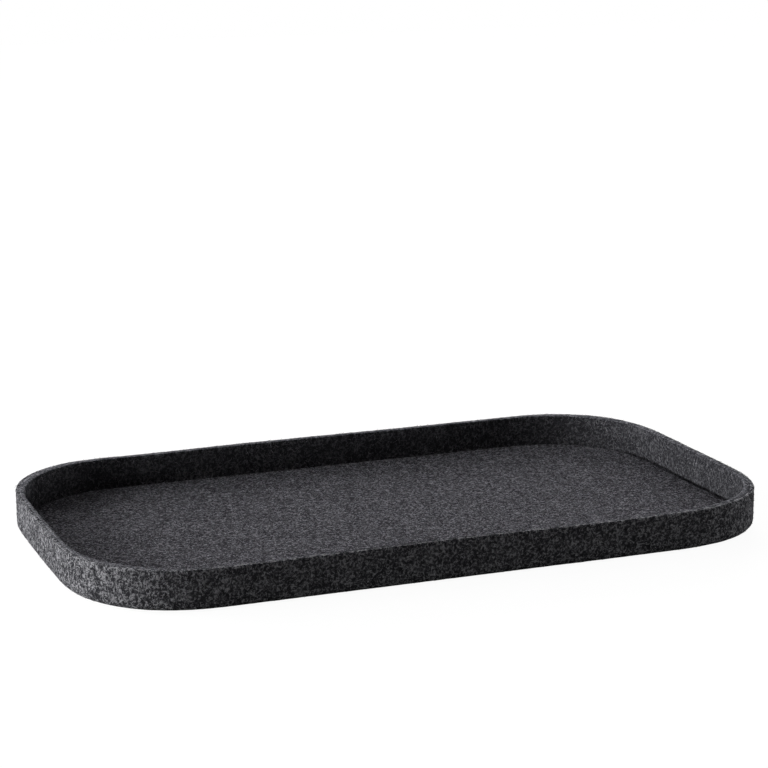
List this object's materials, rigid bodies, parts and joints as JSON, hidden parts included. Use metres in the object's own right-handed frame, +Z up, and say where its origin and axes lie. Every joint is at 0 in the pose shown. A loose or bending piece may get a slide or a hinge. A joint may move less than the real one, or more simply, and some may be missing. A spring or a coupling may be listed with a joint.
{
  "type": "felt serving tray",
  "caption": "Low rectangular tray with full rounded corners, an upright wall and a flat floor, pressed from charcoal felt, for carrying and holding small things.",
  "frame": {"origin": "centre of the underside, on the surface that the tray stands on", "axes": "+X along the tray's length, +Y across its width, +Z up out of the open side"},
  "size_m": [0.46, 0.27, 0.025],
  "materials": {
    "shell_felt": "charcoal melange pressed felt, matt and slightly hairy",
    "lining_felt": "charcoal melange pressed felt, matt and slightly hairy",
    "floor_felt": "charcoal melange pressed felt, matt and slightly hairy",
    "stiffener_sheet": "black, satin"
  },
  "bodies": {
    "root": {"outer_shell": "shell_felt", "wall_lining": "lining_felt", "base_stiffener": "stiffener_sheet", "floor_panel": "floor_felt"}
  },
  "joints": []
}
